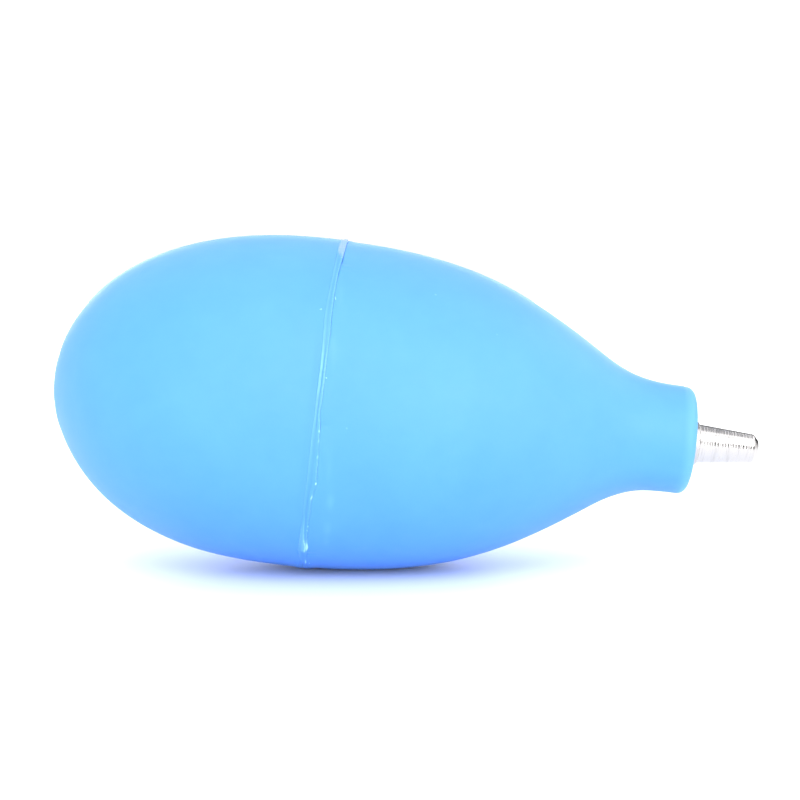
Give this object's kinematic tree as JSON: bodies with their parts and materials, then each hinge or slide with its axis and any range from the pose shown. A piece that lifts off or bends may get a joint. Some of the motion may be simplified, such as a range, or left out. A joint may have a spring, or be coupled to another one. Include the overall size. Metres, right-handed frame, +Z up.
{
  "type": "rubber squeeze bulb with nozzle",
  "caption": "Egg-shaped rubber squeeze bulb, cemented round its widest part, with a short tapered metal nozzle at the end of its neck, for blowing air or filling a pipette.",
  "frame": {"origin": "bottom centre of the object's box, on the surface that the bulb lies on", "axes": "+X toward the nozzle, along the bulb as it lies (the bulb's own axis dips 5.4 degrees toward the nozzle, in the XZ plane); +Z up"},
  "size_m": [0.096, 0.0452, 0.0455],
  "materials": {
    "bulb_rubber": "matte moulded",
    "cement": "satin, uneven bead",
    "turned_aluminium": "bright turned",
    "valve_rubber": "matte",
    "spring_steel": "drawn wire"
  },
  "bodies": {
    "bulb_front": {"front_shell": "bulb_rubber", "seam_cement": "cement", "nozzle": "turned_aluminium"},
    "bulb_rear": {"rear_shell": "bulb_rubber", "valve_body": "turned_aluminium", "valve_retainer": "turned_aluminium", "valve_spring": "spring_steel"},
    "inlet_disc": {"valve_disc": "valve_rubber"}
  },
  "joints": [
    {"name": "squeeze", "type": "slide", "parent": "bulb_front", "child": "bulb_rear", "axis": [0.9956, 0, -0.0941], "range_m": [0, 0.012], "stiffness_N_per_m": 1000, "deforming": ["rear_shell"]},
    {"name": "valve_lift", "type": "slide", "parent": "bulb_rear", "child": "inlet_disc", "axis": [0.9956, 0, -0.0941], "range_m": [0, 0.0008], "stiffness_N_per_m": 20, "deforming": ["valve_spring"]}
  ]
}
